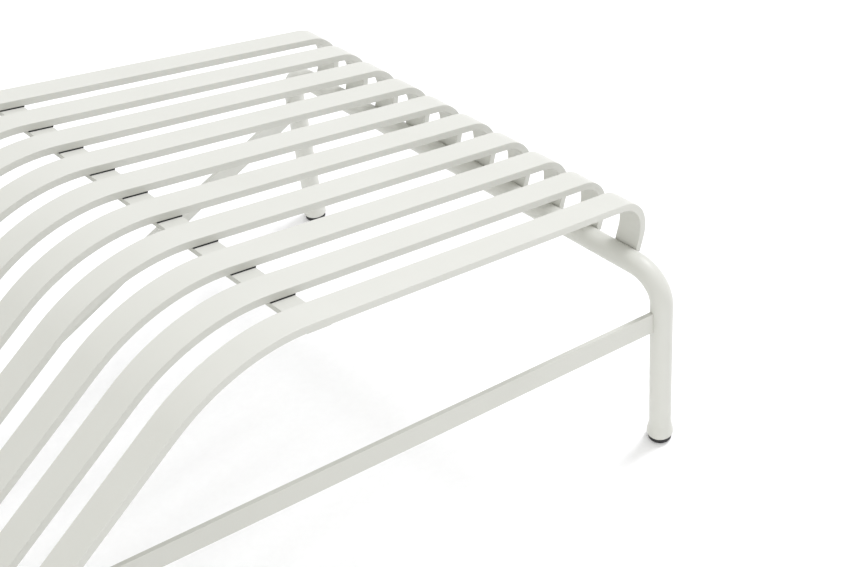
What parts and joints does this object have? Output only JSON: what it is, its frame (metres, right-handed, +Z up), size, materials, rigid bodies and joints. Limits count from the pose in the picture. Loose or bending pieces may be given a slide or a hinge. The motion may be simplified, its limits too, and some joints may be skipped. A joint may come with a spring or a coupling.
{
  "type": "garden lounger",
  "caption": "Slatted metal lounger whose bent flat bars form a leg rest, knee bend, seat hollow and reclined back, carried by two round-tube leg frames tied by converging flat braces.",
  "frame": {"origin": "on the ground, at the middle of the lounger's bounding box", "axes": "+X towards the foot end, +Y towards the sitter's left, +Z up"},
  "size_m": [1.448, 0.6524, 0.8101],
  "materials": {
    "paint": "warm off-white powder coat with a fine, low-gloss texture",
    "glide": "black moulded plastic, matt",
    "pad": "black sheet rubber, matt",
    "plug": "off-white moulded plastic, satin"
  },
  "bodies": {
    "root": {"slat_01": "paint", "slat_02": "paint", "slat_03": "paint", "slat_04": "paint", "slat_05": "paint", "slat_06": "paint", "slat_07": "paint", "slat_08": "paint", "slat_09": "paint", "slat_10": "paint", "front_frame": "paint", "rear_frame": "paint", "brace_left": "paint", "brace_right": "paint", "rear_stretcher": "paint", "knee_bar": "paint", "seat_bar": "paint", "back_bar": "paint", "knee_pads": "pad", "seat_pads": "pad", "back_pads": "pad", "head_tube": "paint", "head_plug_left": "plug", "head_plug_right": "plug", "glide_front_left": "glide", "glide_front_right": "glide", "glide_rear_left": "glide", "glide_rear_right": "glide"}
  },
  "joints": []
}
